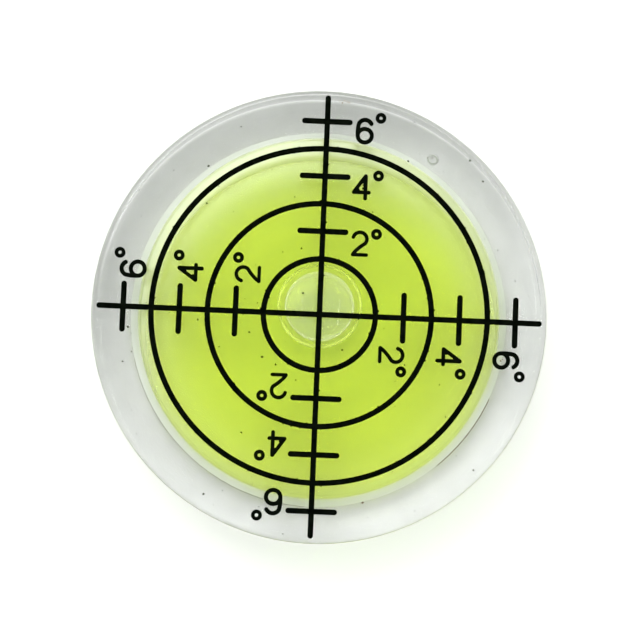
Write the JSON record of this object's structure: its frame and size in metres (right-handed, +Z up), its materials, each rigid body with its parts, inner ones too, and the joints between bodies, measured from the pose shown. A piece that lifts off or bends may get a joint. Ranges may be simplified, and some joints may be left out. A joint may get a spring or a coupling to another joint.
{
  "type": "bubble level",
  "caption": "Round bull's-eye bubble level: clear disc over a coloured liquid and an air bubble, marked in degrees of tilt on a cross.",
  "frame": {"origin": "middle of the flat underside of the disc", "axes": "+Z up through the middle of the window, square to the underside; +Y along the cross line whose numerals read upright; +X to the right of it"},
  "size_m": [0.066, 0.066, 0.011],
  "materials": {
    "clear_acrylic": "clear polished acrylic",
    "base_acrylic": "clear polished acrylic",
    "green_liquid": "clear yellow-green liquid",
    "air": "clear air bubble",
    "black_paint": "black paint in engraved lines"
  },
  "bodies": {
    "root": {"vial_body": "clear_acrylic", "base_disc": "base_acrylic", "liquid": "green_liquid", "air_bubble": "air", "scale_lines": "black_paint"}
  },
  "joints": []
}
